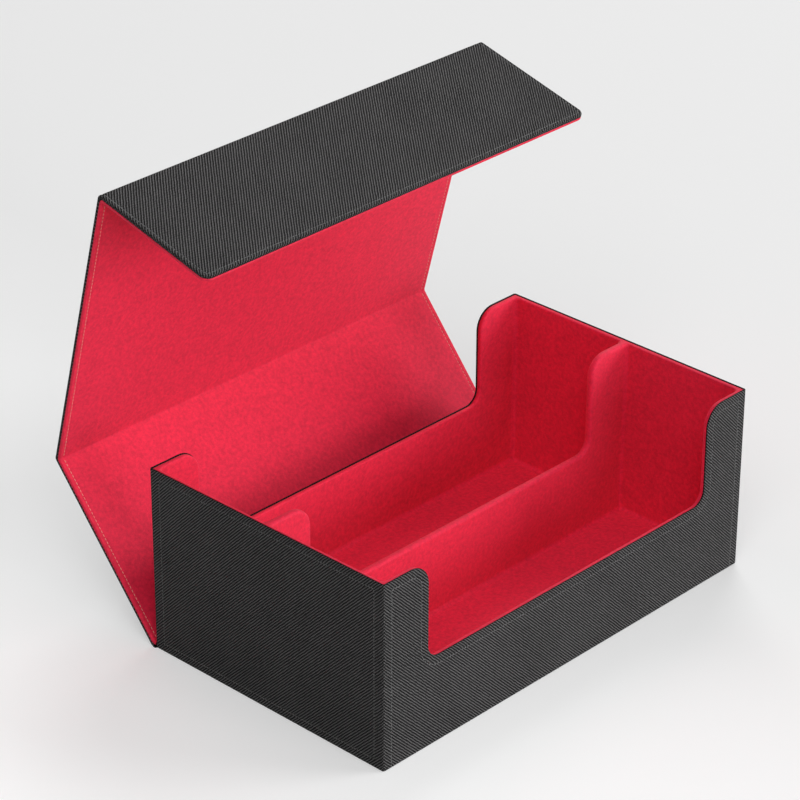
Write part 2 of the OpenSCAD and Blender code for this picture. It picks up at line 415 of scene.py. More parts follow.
def offset(points, distances):
    """The outline moved inwards by a distance for each kind of edge."""
    moved = []
    count = len(points)
    for i, (a, b, kind) in enumerate(points):
        a0, b0, kind0 = points[i - 1]
        a1, b1, _ = points[(i + 1) % count]
        before = Vector((a - a0, b - b0)).normalized()
        after = Vector((a1 - a, b1 - b)).normalized()
        n0, n1 = Vector((-before.y, before.x)), Vector((-after.y, after.x))
        d0, d1 = distances[kind0], distances[kind]
        cross = n0.x * n1.y - n0.y * n1.x
        if abs(cross) < NEARLY_PARALLEL:
            moved.append((a + n1.x * d1, b + n1.y * d1))
        else:
            moved.append((a + (d0 * n1.y - d1 * n0.y) / cross,
                          b + (d1 * n0.x - d0 * n1.x) / cross))
    return moved


# ----------------------------------------------------------------------- shells


def quarter(radius, steps=ARC_STEPS):
    """(inset, height) points round an edge of that radius, from its side to its face."""
    return [(radius * (1 - math.cos(math.radians(90 * i / steps))),
             -radius * (1 - math.sin(math.radians(90 * i / steps)))) for i in range(steps + 1)]


def groove(row):
    """(inset, height) points across the shallow groove that holds a row of stitches."""
    s = seams()
    half = s.groove_width / 2
    shape = ((-1, 0), (-0.55, -0.6), (-0.2, -1), (0.2, -1), (0.55, -0.6), (1, 0))
    return [(row + half * d, s.groove_depth * h) for d, h in shape]


class Bend:
    """How a cover turns where it meets its neighbour along one kind of edge.

    At the edge the cover ends on the mitre between both sides. A turn of 1 lifts it into
    a fillet and -1 rounds it away. depth is how far back the turn fades out.
    """

    def __init__(self, kind, limit, radius, turn, depth, full=False):
        self.kind = kind
        self.limit = limit
        self.radius = radius
        self.turn = turn
        self.depth = depth
        self.full = full

    def distance(self, a, b):
        return self.limit - abs(a) if self.kind == "side" else b - self.limit

    def strength(self, h):
        if self.full:
            return 1 + 2 * h / self.depth
        return min(1.0, max(0.0, 1 + h / self.depth))

    def lift(self, s, h):
        """Change of height at a distance from the edge."""
        if s >= self.radius:
            return 0.0
        reach = max(s, 0.0)
        if not self.full:
            reach += HALF_FILLET * self.radius * (1 - reach / self.radius)
        rise = self.radius - math.sqrt(max(0.0, self.radius ** 2 - (self.radius - reach) ** 2))
        return self.turn * self.strength(h) * rise

    def shift(self, s, h):
        """Move towards the mitre at that distance."""
        if self.full or s >= self.radius:
            return 0.0
        share = 1 - max(s, 0.0) / self.radius
        mid = HALF_FILLET * self.radius * self.strength(h)
        return share * (mid + self.turn * h)


def bend_point(bends, a, b, h):
    """A flat point (a, b, h) moved by the bends of its cover."""
    lifts, moved_a, moved_b = [], a, b
    for bend in bends:
        s = bend.distance(a, b)
        lifts.append(bend.lift(s, h))
        shift = bend.shift(s, h)
        if bend.kind == "side":
            moved_a -= shift * math.copysign(1, a)
        else:
            moved_b += shift
    biggest = max(lifts, key=abs, default=0.0)
    return moved_a, moved_b, h + biggest


def height_at(ring, kind0, kind1):
    """Height of a corner between two kinds of edge: a free edge decides over a joined one."""
    for kind in ("top", "side", "foot", "fold"):
        if kind in (kind0, kind1) and ring[kind][2]:
            return ring[kind][1]
    return ring[kind1][1]


def inset_points(outline, insets, half, low):
    """The outline moved inwards, held inside its own straight sides."""
    side_limit = half - insets["side"]
    foot_limit = low + insets["foot" if "foot" in insets else "fold"]
    return [(max(-side_limit, min(side_limit, a)), max(foot_limit, b))
            for a, b in offset(outline, insets)]


def rim_share(h):
    """How far a height is down the rounded rim of a cover, from 0 on its face to 1, which is how much
    the rim is painted darker: part dark edge, part painted shade.
    """
    start, end = seams().groove_depth, sizes().leather_edge
    return min(1.0, max(0.0, -h - start) / (end - start))


class Skin:
    """A cover's mesh in the making. Each point keeps its place on the cut and how much its rim is
    painted darker, part dark edge and part painted shade.
    """

    def __init__(self):
        self.bm = bmesh.new()
        self.layer = self.bm.loops.layers.uv.new(CUT_UV)
        self.rim = self.bm.verts.layers.float.new(RIM_EDGE_AND_SHADE)
        self.cut = {}

    def point(self, place, dark, cut):
        vert = self.bm.verts.new(place)
        # Rim painted darker: part dark edge, part painted shade.
        vert[self.rim] = dark
        self.cut[vert] = cut
        return vert

    def face(self, verts):
        for loop in self.bm.faces.new(verts).loops:
            loop[self.layer].uv = self.cut[loop.vert]


def shell(name, side, outline, rings, bends=(), uv=(1, 1, 0), dark=1.0):
    """A closed cover made of rings from its hidden back round its edges to its face.

    Each ring gives (inset, height, free) for every kind of edge. uv is the sign across,
    the stretch along and the start along of its cut. dark is how much the rim is painted
    darker: part the leather's dark edge, part painted shade.
    """
    half, low, count = half_width(outline), foot_level(outline), len(outline)
    skin, loops = Skin(), []
    for ring in rings:
        flat = inset_points(outline, {kind: ring[kind][0] for kind in ring}, half, low)
        spread = inset_points(outline, {kind: ring[kind][0] + min(0, ring[kind][1])
                                        for kind in ring}, half, low)
        verts = []
        for i, ((a, b), (ua, ub)) in enumerate(zip(flat, spread)):
            h = height_at(ring, outline[i - 1][2], outline[i][2])
            place = side.point(*bend_point(bends, a, b, h))
            cut = (ua * uv[0], uv[2] + ub * uv[1])
            verts.append(skin.point(place, dark * rim_share(h), cut))
        loops.append(verts)
    skin.face(loops[0][::-1])
    skin.face(loops[-1])
    for outer, inner in zip(loops, loops[1:]):
        for i in range(count):
            j = (i + 1) % count
            skin.face((outer[i], outer[j], inner[j], inner[i]))
    bmesh.ops.remove_doubles(skin.bm, verts=skin.bm.verts[:], dist=MERGE_WITHIN)
    bmesh.ops.dissolve_degenerate(skin.bm, edges=skin.bm.edges[:], dist=TINY)
    return finish_mesh(name, skin.bm)


def add_object(name, data):
    """A new object in the scene."""
    made = bpy.data.objects.new(name, data)
    bpy.context.scene.collection.objects.link(made)
    return made


def finish_mesh(name, bm):
    """Smooth faces with sharp edges kept, as a new object in the scene."""
    limit = math.radians(SHARP_DEG)
    for face in bm.faces:
        face.smooth = True
    for edge in bm.edges:
        if edge.is_manifold:
            edge.smooth = edge.calc_face_angle(math.pi) < limit
    mesh = bpy.data.meshes.new(name)
    bm.to_mesh(mesh)
    bm.free()
    return add_object(name, mesh)


def cover(made, material, slot, body, *nodes):
    """Gives a piece its material and its body, and lets it stand for CAD nodes. slot is not used."""
    made.data.materials.clear()
    made.data.materials.append(material)
    if body:
        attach(made, body)
    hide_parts(*nodes)
    return made


def rings_of(*profiles):
    """Rings for the kinds of edge from {kind: [(inset, height), ...]} with lists of one length."""
    rings = []
    for kinds in profiles:
        free = kinds.get("free", ())
        names = [k for k in kinds if k != "free"]
        for values in zip(*(kinds[k] for k in names)):
            rings.append({k: (v[0], v[1], k in free) for k, v in zip(names, values)})
    return rings


# ------------------------------------------------------------------ tray leather


# Shares of the corner radius at which the leather round it has points.
CORNER_STOPS = (0.2, 0.45, 0.7, 1.0)


def leather_wall_rings(rows):
    """Rings of one outside wall. rows gives each kind's distance to its stitches, or None."""
    s = sizes()
    t, r, foot = s.leather, s.leather_edge, s.foot_radius
    top_arc, foot_arc = quarter(r), quarter(foot)
    flat = foot + s.felt
    still = [(0, 0)] * len(top_arc)
    edge = rings_of(
        {"top": [(0, -t)], "foot": [(0, -t)], "side": [(0, -t)], "free": ("top", "foot")},
        {"top": top_arc, "foot": foot_arc, "side": still, "free": ("top", "foot")})
    sides = [(s.corner_radius * x, 0) for x in CORNER_STOPS]
    spread = [(r + s.felt * (i + 1), 0) for i in range(4)]
    low = [(foot + s.felt * (i + 1) / 4, 0) for i in range(4)]
    edge += rings_of({"top": spread, "foot": low, "side": sides})
    row = {k: groove(d) if d else [(flat, 0)] * 6 for k, d in rows.items()}
    free = tuple(k for k, d in rows.items() if d)
    last = {k: [(v[-1][0] + s.leather, 0)] for k, v in row.items()}
    return edge + rings_of({**row, "free": free}, last)


def leather_wall(name, side, outline, rows, uv):
    """One outside wall of leather with its rounded edges and its stitch groove."""
    half, r = half_width(outline), sizes().corner_radius
    clear = max(d for d in rows.values() if d) + 2 * seams().groove_width
    outline = with_columns(outline, half, [r * x for x in CORNER_STOPS] + [clear])
    bends = [Bend("side", half, r, -1, 10 * r)]
    return shell(name, side, outline, leather_wall_rings(rows), bends, uv)


class CARDBOX_OT_tray_leather(bpy.types.Operator):
    """Covers the outside of the tray with leather"""

    bl_idname = "cardbox.tray_leather"
    bl_label = "Tray leather"

    def execute(self, context):
        material = leather_material()
        low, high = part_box("front_wall_leather")
        low, high = Vector(low), Vector(high)
        high.y = -low.y
        row, rise = seams(), sizes().leather_rise
        long_rows = {"top": row.front_top, "side": row.front_side, "foot": None}
        end_rows = {"top": row.end_top, "side": row.end_side, "foot": row.end_foot}
        long_wall = (cutout_outline(high.x, 0, high.z, rise), long_rows, (1, 1, 0))
        end_wall = (block_outline(high.y, 0, high.z + rise), end_rows, (-1, 1, 0))
        for name, side, given in tray_walls(low, high, long_wall, end_wall):
            made = leather_wall(f"{name}_cover", side, *given)
            cover(made, material, "leather_cover", "tray", f"{name}_leather")
        self.base(material)
        return {"FINISHED"}

    def base(self, material):
        """The leaf under the tray, which runs back to the hinge of the lid."""
        s = sizes()
        low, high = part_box("base_leather")
        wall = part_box("rear_wall_leather")[1]
        inner = wall.x - s.leather
        front, rear = wall.y - s.leather, high.y
        corners = [(-inner, -wall.y + s.leather), (inner, -wall.y + s.leather), (inner, front),
                   (high.x, wall.y), (high.x, rear), (low.x, rear), (low.x, wall.y),
                   (-inner, front)]
        outline = [(a, b, "fold") for a, b in corners]
        side = Side((0, 0, 0), (-1, 0, 0), (0, 1, 0))
        rings = [{"side": (0, h, False), "fold": (0, h, False)} for h in (-s.leather, 0)]
        made = shell("base_cover", side, outline, rings)
        cover(made, material, "leather_cover", "tray", "base_leather")


# ------------------------------------------------------------------ tray linings


def fillet_steps(radius):
    """Distances from an edge at which the felt round it has points."""
    return [radius * x for x in (0.0, 0.12, 0.28, 0.48, 0.72, 1.0)]


def felt_wall_rings(band):
    """Rings of one inside wall whose felt turns over the top by the width of the band."""
    s = sizes()
    t, r = s.felt, s.felt_edge
    arc = quarter(r)
    top = [(t, -t), (t, -band), (0.4 * t, -band), (0, 0.5 * t - band)] + arc
    joined = [(0, -t)] * 3 + [(0, 0)] * (1 + len(arc))
    back = rings_of({"top": top, "side": joined, "foot": joined, "free": ("top",)})
    stops = [(d, 0) for d in fillet_steps(s.felt_fillet)[1:]]
    spread = [(r + t * (i + 1), 0) for i in range(len(stops))]
    return back + rings_of({"top": spread, "side": stops, "foot": stops})


def felt_wall(name, side, outline, band):
    """One inside wall of felt with a soft turn over its top and into its neighbours."""
    half, low, r = half_width(outline), foot_level(outline), sizes().felt_fillet
    outline = with_columns(outline, half, fillet_steps(r)[1:])
    bends = [Bend("side", half, r, 1, band), Bend("foot", low, r, 1, band)]
    return shell(name, side, outline, felt_wall_rings(band), bends)


class CARDBOX_OT_tray_lining(bpy.types.Operator):
    """Lines the inside walls and the floors of both rows with felt"""

    bl_idname = "cardbox.tray_lining"
    bl_label = "Tray lining"

    def execute(self, context):
        material = felt_material()
        front_low, front_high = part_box("front_wall_lining")
        floor_low, floor_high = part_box("front_row_floor_lining")
        inner = Vector((front_high.x, -front_high.y, front_high.z))
        foot, top = floor_high.z, front_high.z
        band = front_high.y - front_low.y
        long_wall = cutout_outline(inner.x, foot, top)
        end_wall = block_outline(inner.y, foot, top)
        for name, side, outline in tray_walls(-inner, inner, long_wall, end_wall):
            made = felt_wall(f"{name}_felt", facing_in(side), outline, band)
            cover(made, material, "felt_lining", "tray", f"{name}_lining")
        width = floor_high.y - floor_low.y
        for key, sign in (("front", 1), ("rear", -1)):
            place = (0, -sign * inner.y, floor_high.z)
            side = Side(place, (sign, 0, 0), (0, sign, 0))
            made = self.floor(f"{key}_row_floor_felt", side, inner.x, width)
            cover(made, material, "felt_lining", "tray", f"{key}_row_floor_lining")
        return {"FINISHED"}

    def floor(self, name, side, half, width):
        """The felt on the floor of one row, turned up into the walls round it."""
        s = sizes()
        t, r = s.felt, s.felt_fillet
        stops = [(d, 0) for d in fillet_steps(r)]
        plain = [(t * x / 10, 0) for x in range(len(stops))]
        rings = rings_of({"top": [(0, -t)], "side": [(0, -t)], "foot": [(0, -t)]},
                         {"top": plain, "side": stops, "foot": stops})
        bends = [Bend("side", half, r, 1, 5 * t), Bend("foot", 0, r, 1, 5 * t)]
        outline = with_columns(block_outline(half, 0, width), half, fillet_steps(r)[1:])
        return shell(name, side, outline, rings, bends)


class CARDBOX_OT_divider_lining(bpy.types.Operator):
    """Wraps the divider in felt, with rounded edges and a flared foot"""

    bl_idname = "cardbox.divider_lining"
    bl_label = "Divider lining"

    def execute(self, context):
        s = sizes()
        low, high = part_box("divider_lining")
        thick = high.y - low.y
        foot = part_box("front_row_floor_lining")[1].z
        r, flare = s.divider_edge, s.divider_flare
        side = Side((0, low.y, 0), (1, 0, 0), (0, 0, 1))
        stops = [(d, 0) for d in fillet_steps(flare)]
        spread = [(r + s.felt * i, 0) for i in range(len(stops))]
        face = rings_of({"top": spread, "side": stops, "foot": stops})
        arc = quarter(r)
        edge = rings_of({"top": arc, "side": [(0, h) for _, h in arc],
                         "foot": [(0, h) for _, h in arc], "free": ("top",)})
        front = edge + face[1:]
        back = [{k: (i, -thick - h, f) for k, (i, h, f) in ring.items()} for ring in front[::-1]]
        bury = s.felt_edge
        outline = with_columns(cutout_outline(high.x, foot, high.z), high.x,
                               fillet_steps(flare)[1:])
        bends = [Bend("side", high.x, flare, 1, thick, full=True),
                 Bend("foot", foot, flare, 1, thick, full=True)]
        made = shell("divider_felt", side, outline, back + front, bends)
        for vert in made.data.vertices:
            if abs(vert.co.x) > high.x - s.felt / 10:
                vert.co.x = math.copysign(high.x + bury, vert.co.x)
        cover(made, felt_material(), "felt_lining", "tray", "divider_lining")
        return {"FINISHED"}


# ------------------------------------------------------------------------- lid


def lid_leather_profile():
    """(inset, height) points round a free edge of the lid's leather, back to face."""
    s = sizes()
    t, depth = s.leather, s.outside_depth - s.rim_depth
    row = groove(seams().lid_outside)
    return ([(t, -t), (t, -depth), (0.3 * t, -depth), (0, 0.3 * t - depth)]
            + quarter(s.lid_edge) + row + [(row[-1][0] + t, 0)])


def lid_felt_profile():
    """(inset, height) points round a free edge of the lid's felt, back to face."""
    s = sizes()
    t, depth = s.leather, s.inside_depth + s.rim_depth
    row = groove(seams().lid_inside)
    return ([(t, -s.felt), (t, -depth), (0.3 * t, -depth), (0, 0.3 * t - depth)]
            + quarter(s.lid_felt_edge) + row + [(row[-1][0] + t, 0)])


def panel_rings(profile):
    """Rings of a lid panel: its free sides have the profile and its folds are cut plain."""
    folded = [(0, h) for _, h in profile]
    return rings_of({"side": profile, "fold": folded, "free": ("side",)})


def leather_starts():
    """Where the cut of each lid panel starts, so that the ribs run on round the folds."""
    s = sizes()
    starts, start = {}, 0.0
    for panel in reversed(lid_panels()):
        if starts:
            start -= panel.end
        starts[panel.body] = start
        start -= s.outside_depth * (panel.fold.after - panel.fold.before)
    return starts


class CARDBOX_OT_lid_panels(bpy.types.Operator):
    """Covers the three lid panels with leather outside and felt inside"""

    bl_idname = "cardbox.lid_panels"
    bl_label = "Lid panels"

    def execute(self, context):
        s = sizes()
        leather, felt = leather_material(), felt_material()
        stretch, starts = finishes().rib_stretch, leather_starts()
        for panel in lid_panels():
            last = panel.body == "lid_flap"
            outline = flap_outline if last else panel_outline
            uv = (-1, stretch, starts[panel.body] * stretch)
            flat_end = panel.end - (0 if last else s.fold_play)
            # The lid's rims are painted darker than its faces, less than the tray's: part dark edge,
            # part painted shade.
            made = shell(f"{panel.body}_cover", panel.outside(),
                         outline(panel.half, s.fold_play, flat_end),
                         panel_rings(lid_leather_profile()), uv=uv, dark=LID_EDGE_AND_SHADE)
            cover(made, leather, "leather_cover", panel.body, f"{panel.body}_leather")
            end = panel.end - (0 if last else s.fold_set_back)
            made = shell(f"{panel.body}_felt", panel.inside(),
                         outline(panel.half, s.fold_set_back, end),
                         panel_rings(lid_felt_profile()))
            cover(made, felt, "felt_lining", panel.body, f"{panel.body}_lining")
        return {"FINISHED"}


def strip(name, half, profile, centre, fold, radius, grow, uv):
    """A strip bent round a fold, from the angle of the panel before it to the angle of the panel
    after it.

    radius is its face's and grow says which way it thickens.
    """
    section = [(half - i, h) for i, h in profile]
    section += [(-x, h) for x, h in reversed(section)]
    count, turn = len(section), fold.after - fold.before
    steps = max(FEWEST_FOLD_STEPS, round(math.degrees(turn) / FOLD_STEP_DEG))
    skin, loops = Skin(), []
    for step in range(steps + 1):
        share = step / steps
        out = out_of_panel(fold.before + turn * share)
        along = uv[0] + (uv[1] - uv[0]) * share
        verts = []
        for x, h in section:
            place = centre + out * (radius + grow * h)
            # On the leather strip the rim is painted darker like the lid's: part dark edge, part
            # painted shade.
            verts.append(skin.point((x, place.y, place.z), LID_EDGE_AND_SHADE * rim_share(h), (x, along)))
        loops.append(verts)
    skin.face(loops[0])
    skin.face(loops[-1][::-1])
    for first, second in zip(loops, loops[1:]):
        for i in range(count):
            j = (i + 1) % count
            skin.face((first[i], second[i], second[j], first[j]))
    bmesh.ops.recalc_face_normals(skin.bm, faces=skin.bm.faces[:])
    made = finish_mesh(name, skin.bm)
    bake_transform(made)
    return made


class CARDBOX_OT_lid_folds(bpy.types.Operator):
    """Makes the bent strips of leather and felt at the three folds"""

    bl_idname = "cardbox.lid_folds"
    bl_label = "Lid folds"

    def execute(self, context):
        s = sizes()
        leather, felt = leather_material(), felt_material()
        stretch, starts = finishes().rib_stretch, leather_starts()
        names = [joint["name"] for joint in frame["joints"]]
        for name, panel in zip(names, lid_panels()):
            fold = panel.fold
            turn = fold.after - fold.before
            end = starts[panel.body] * stretch
            uv = (end - s.outside_depth * turn * stretch, end)
            made = strip(f"{name}_cover", panel.half, lid_leather_profile(), fold.line,
                         fold, s.outside_depth, 1, uv)
            cover(made, leather, "leather_cover", None, f"{name}_leather")
            reach = s.fold_set_back / math.tan(turn / 2)
            inner = reach - s.inside_depth
            middle = (fold.before + fold.after) / 2
            centre = fold.line - out_of_panel(middle) * reach / math.cos(turn / 2)
            made = strip(f"{name}_felt", panel.half, lid_felt_profile(), centre,
                         fold, inner, -1, PLAIN_CUT)
            cover(made, felt, "felt_lining", None, f"{name}_lining")
        return {"FINISHED"}


# -------------------------------------------------------------------- stitching


STITCH_STEPS = 6
STITCH_RISE, STITCH_SINK = 0.9, -0.6  # in thread diameters
SMALLEST_STITCH, LARGEST_STITCH = (0.94, 0.9, 0.85), (1.04, 1.08, 1.1)


class Wiring:
    """Short ways to add nodes to a node tree and to join them."""

    def __init__(self, tree):
        self.nodes = tree.nodes
        self.links = tree.links

    def node(self, kind, links=None, values=None, **settings):
        made = self.nodes.new(kind)
        for key, value in settings.items():
            setattr(made, key, value)
        for socket, value in (values or {}).items():
            made.inputs[socket].default_value = value
        for socket, source in (links or {}).items():
            self.links.new(source, made.inputs[socket])
        return made

    def calc(self, operation, *values):
        made = self.node("ShaderNodeMath", operation=operation)
        for socket, value in zip(made.inputs, values):
            if isinstance(value, (int, float)):
                socket.default_value = value
            else:
                self.links.new(value, socket)
        return made.outputs[0]

    def vector(self, **parts):
        return self.node("ShaderNodeCombineXYZ", parts).outputs[0]


def stitch_tree():
    """Geometry nodes that lay one curved stitch of thread at each pitch along a seam."""
    tree = bpy.data.node_groups.new("row_of_stitches", "GeometryNodeTree")
    tree.is_modifier = True
    for name, way, kind in (
            ("Seams", "INPUT", "Geometry"), ("Pitch", "INPUT", "Float"),
            ("Stitch length", "INPUT", "Float"), ("Thread diameter", "INPUT", "Float"),
            ("Seed", "INPUT", "Int"), ("Thread", "INPUT", "Material"),
            ("Stitches", "OUTPUT", "Geometry")):
        tree.interface.new_socket(name, in_out=way, socket_type=f"NodeSocket{kind}")
    w = Wiring(tree)
    given = w.node("NodeGroupInput").outputs
    curve = w.node("GeometryNodeMeshToCurve", {"Mesh": given["Seams"]}).outputs["Curve"]
    spaced = w.node("GeometryNodeResampleCurve", {"Curve": curve, "Length": given["Pitch"]},
                    mode="LENGTH").outputs["Curve"]

    # One stitch rises a little in its middle and sinks into the cover at both ends.
    half = w.calc("MULTIPLY", given["Stitch length"], 0.5)
    back = w.calc("MULTIPLY", half, -1)
    rise = w.calc("MULTIPLY", given["Thread diameter"], STITCH_RISE)
    sink = w.calc("MULTIPLY", given["Thread diameter"], STITCH_SINK)
    arc = w.node("GeometryNodeCurveQuadraticBezier",
                 {"Start": w.vector(X=back, Z=sink), "Middle": w.vector(Z=rise),
                  "End": w.vector(X=half, Z=sink)}, {"Resolution": STITCH_STEPS})
    radius = w.calc("MULTIPLY", given["Thread diameter"], 0.5)
    ring = w.node("GeometryNodeCurvePrimitiveCircle", {"Radius": radius},
                  {"Resolution": STITCH_STEPS})
    thread = w.node("GeometryNodeCurveToMesh",
                    {"Curve": arc.outputs["Curve"], "Profile Curve": ring.outputs["Curve"]},
                    {"Fill Caps": True}).outputs["Mesh"]

    # Each stitch stands out of the cover and lies along the seam, each a little different.
    out = w.node("GeometryNodeInputNamedAttribute", None, {"Name": SEAM_NORMAL},
                 data_type="FLOAT_VECTOR").outputs["Attribute"]
    tangent = w.node("GeometryNodeInputTangent").outputs["Tangent"]
    stand = w.node("FunctionNodeAlignRotationToVector", {"Vector": out}, axis="Z")
    lie = w.node("FunctionNodeAlignRotationToVector",
                 {"Rotation": stand.outputs["Rotation"], "Vector": tangent},
                 axis="X", pivot_axis="Z").outputs["Rotation"]
    vary = w.node("FunctionNodeRandomValue", {"Seed": given["Seed"]},
                  {"Min": SMALLEST_STITCH, "Max": LARGEST_STITCH},
                  data_type="FLOAT_VECTOR").outputs["Value"]
    lay = w.node("GeometryNodeInstanceOnPoints",
                 {"Points": spaced, "Instance": thread, "Rotation": lie, "Scale": vary})

    real = w.node("GeometryNodeRealizeInstances", {"Geometry": lay.outputs["Instances"]})
    smooth = w.node("GeometryNodeSetShadeSmooth", {"Geometry": real.outputs["Geometry"]})
    paint = w.node("GeometryNodeSetMaterial",
                   {"Geometry": smooth.outputs["Geometry"], "Material": given["Thread"]})
    w.node("NodeGroupOutput", {"Stitches": paint.outputs["Geometry"]})
    return tree


def seam_mesh(name, rows):
    """A mesh of edges only, one chain per row of (points, normal, closed)."""
    verts, edges, normals = [], [], []
    for points, normal, closed in rows:
        first = len(verts)
        verts += [tuple(p) for p in points]
        normals += [tuple(normal)] * len(points)
        edges += [(first + i, first + i + 1) for i in range(len(points) - 1)]
        if closed:
            edges.append((len(verts) - 1, first))
    mesh = bpy.data.meshes.new(name)
    mesh.from_pydata(verts, edges, [])
    attribute = mesh.attributes.new(SEAM_NORMAL, "FLOAT_VECTOR", "POINT")
    attribute.data.foreach_set("vector", [x for n in normals for x in n])
    return mesh


def sew(name, rows, thread, body, tree):
    """Sews the rows of one body with the stitch nodes, as one plain mesh."""
    s = seams()
    path = add_object(f"{name}_path", seam_mesh(f"{name}_path", rows))
    modifier = path.modifiers.new("stitches", "NODES")
    modifier.node_group = tree
    values = {"Pitch": s.pitch, "Stitch length": s.stitch, "Thread diameter": s.thread,
              "Seed": s.seed, "Thread": thread}
    for item in tree.interface.items_tree:
        if item.item_type == "SOCKET" and item.in_out == "INPUT" and item.name in values:
            modifier[item.identifier] = values[item.name]
    bpy.context.view_layer.update()
    depsgraph = bpy.context.evaluated_depsgraph_get()
    mesh = bpy.data.meshes.new_from_object(path.evaluated_get(depsgraph))
    mesh.name = name
    if SEAM_NORMAL in mesh.attributes:
        mesh.attributes.remove(mesh.attributes[SEAM_NORMAL])
    bpy.data.objects.remove(path)
    made = add_object(name, mesh)
    if not mesh.materials:
        mesh.materials.append(thread)
    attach(made, body)
    return made


def row_on(side, points, closed):
    """A row on a side of the box, at the bottom of its groove."""
    h = -seams().groove_depth
    return [side.point(a, b, h) for a, b in points], side.out, closed


def without_foot(outline, distances):
    """The row round an outline, open along its first edge."""
    moved = offset(outline, distances)
    return moved[1:] + moved[:1]


def chain(points, step=0.001):
    """The same open path with closer points, so that a stitch follows its curves."""
    made = []
    for p, q in zip(points, points[1:]):
        count = max(1, int((Vector(q) - Vector(p)).length / step))
        made += [Vector(p).lerp(Vector(q), i / count) for i in range(count)]
    return [tuple(p) for p in made] + [tuple(points[-1])]


class CARDBOX_OT_stitching(bpy.types.Operator):
    """Sews the borders of the leather and of the lid's felt"""

    bl_idname = "cardbox.stitching"
    bl_label = "Stitching"

    def execute(self, context):
        s, row = sizes(), seams()
        tree = stitch_tree()
        grey = thread_material("grey_thread", finishes().grey_thread)
        red = thread_material("red_thread", finishes().red_thread)
        low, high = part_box("front_wall_leather")
        corner = Vector((high.x, -low.y, high.z))
        foot = s.foot_radius + row.thread
        flat = without_foot(cutout_outline(high.x, 0, high.z),
                            {"top": row.front_top, "side": row.front_side, "foot": foot})
        long_row = (chain(flat), False)
        flat = offset(block_outline(corner.y, 0, high.z),
                      {"top": row.end_top, "side": row.end_side, "foot": row.end_foot})
        end_row = (chain(flat + flat[:1])[:-1], True)
        rows = [row_on(side, *given)
                for _, side, given in tray_walls(-corner, corner, long_row, end_row)]
        sew("tray_stitches", rows, grey, "tray", tree)
        for panel in lid_panels():
            outside = self.panel_rows(panel, panel.outside(), row.lid_outside, 0)
            inside = self.panel_rows(panel, panel.inside(), row.lid_inside, s.fold_set_back)
            sew(f"{panel.body}_cover_stitches", outside, grey, panel.body, tree)
            sew(f"{panel.body}_felt_stitches", inside, red, panel.body, tree)
        return {"FINISHED"}

    def panel_rows(self, panel, side, inset, start):
        """The rows along the free edges of one lid panel."""
        gap = seams().pitch / 2
        if panel.body == "lid_flap":
            outline = flap_outline(panel.half, start + gap, panel.end)
            flat = without_foot(outline, {"side": inset, "fold": 0})
            return [row_on(side, chain(flat), False)]
        x, low, high = panel.half - inset, start + gap, panel.end - start - gap
        return [row_on(side, chain([(a, low), (a, high)]), False) for a in (-x, x)]


# -------------------------------------------------------------------- materials


class Painter(Wiring):
    """A new material with its Principled shader, and short ways to add nodes to it."""

    def __init__(self, name):
        self.material = bpy.data.materials.new(name)
        self.material.use_nodes = True
        super().__init__(self.material.node_tree)
        self.shader = self.nodes["Principled BSDF"]
        self.body = self.node("ShaderNodeTexCoord").outputs["Object"]

    def noise(self, scale, detail, rough):
        """Even noise with so many cells to the metre."""
        return self.node("ShaderNodeTexNoise", {"Vector": self.body},
                         {"Scale": scale, "Detail": detail, "Roughness": rough}).outputs["Fac"]

    def ramp(self, source, span, dark, light):
        """From a dark to a light colour over a span of the source."""
        made = self.node("ShaderNodeValToRGB", {"Fac": source})
        for element, place, shade in zip(made.color_ramp.elements, span, (dark, light)):
            element.position = place
            element.color = (*shade, 1)
        return made.outputs["Color"]

    def shade(self, **values):
        """Sets or links the shader's own sockets."""
        for name, value in values.items():
            socket = self.shader.inputs[name.replace("_", " ")]
            if isinstance(value, bpy.types.NodeSocket):
                self.links.new(value, socket)
            else:
                socket.default_value = value

    def bump(self, height, distance, strength=1.0):
        return self.node("ShaderNodeBump", {"Height": height},
                         {"Distance": distance, "Strength": strength}).outputs["Normal"]

    def vary(self, tone, noise, share):
        """The tone with a share of some noise added, brighter and darker by turns."""
        return self.calc("MULTIPLY_ADD", self.calc("SUBTRACT", noise, 0.5), share, tone)


# Cells to the metre of each texture.
LEATHER_GRAIN = 2600
LEATHER_BEADS = 900
LEATHER_CLOUDS = 45
FELT_FIBRES = 2000
FELT_MOTTLE = 520
FELT_PATCHES = 140
THREAD_TWIST = 5000
BOARD_FLECKS = 900
STEEL_MARKS = 1500

# Where each tone turns from its dark colour to its light one.
LEATHER_SPAN = (0.45, 0.85)
FELT_SPAN = (0.3, 0.66)
EVEN_SPAN = (0.3, 0.7)

# Height of each surface's fine relief, in metres.
FELT_NAP = 0.00025
THREAD_PLY = 0.0001
BOARD_GRAIN = 0.0001


def once(make):
    """Makes a material the first time it is asked for and hands out the same one after."""
    def ask(*values):
        name = values[0] if values else make.__name__
        return bpy.data.materials.get(name) or make(*values)
    return ask


